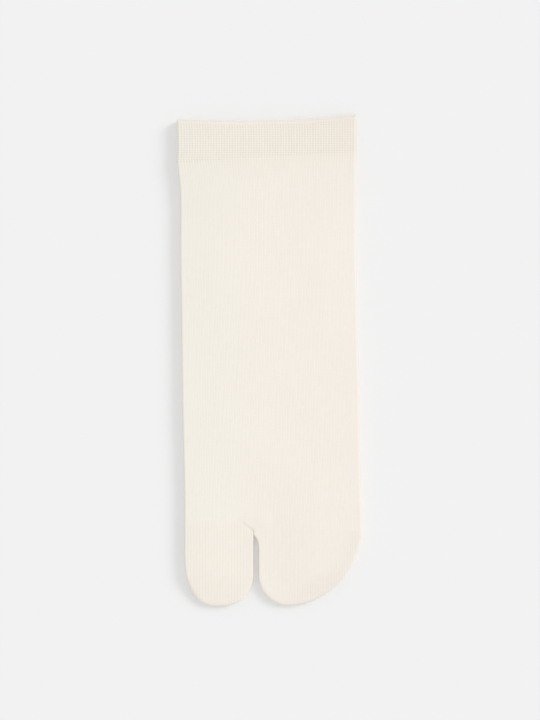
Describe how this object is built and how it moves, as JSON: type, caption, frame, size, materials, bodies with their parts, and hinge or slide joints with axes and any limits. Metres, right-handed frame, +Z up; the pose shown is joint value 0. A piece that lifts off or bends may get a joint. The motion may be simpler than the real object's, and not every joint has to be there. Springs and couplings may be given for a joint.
{
  "type": "pair of tabi socks",
  "caption": "Ivory knitted split-toe crew socks laid flat as a stacked pair, ribbed cuffs together, with a pocket for the big toe and a rounded pocket for the others.",
  "frame": {"origin": "on the surface that the pair lies on, below the middle of its bounding box", "axes": "+X from the big toe to the little toe of the upper sock, +Y from the toe tips to the cuffs, +Z up"},
  "size_m": [0.1025, 0.2718, 0.0078],
  "materials": {
    "plain_knit": "matte fine plain knit, ivory",
    "toe_knit": "matte fine knit with visible wales, ivory",
    "ribbed_cuff": "matte 1x1 rib knit, ivory, a shade darker"
  },
  "bodies": {
    "root": {"left_cuff": "ribbed_cuff", "left_body": "plain_knit", "left_big_toe": "toe_knit", "left_toes": "toe_knit", "left_heel": "plain_knit", "right_cuff": "ribbed_cuff", "right_body": "plain_knit", "right_big_toe": "toe_knit", "right_toes": "toe_knit", "right_heel": "plain_knit"}
  },
  "joints": []
}
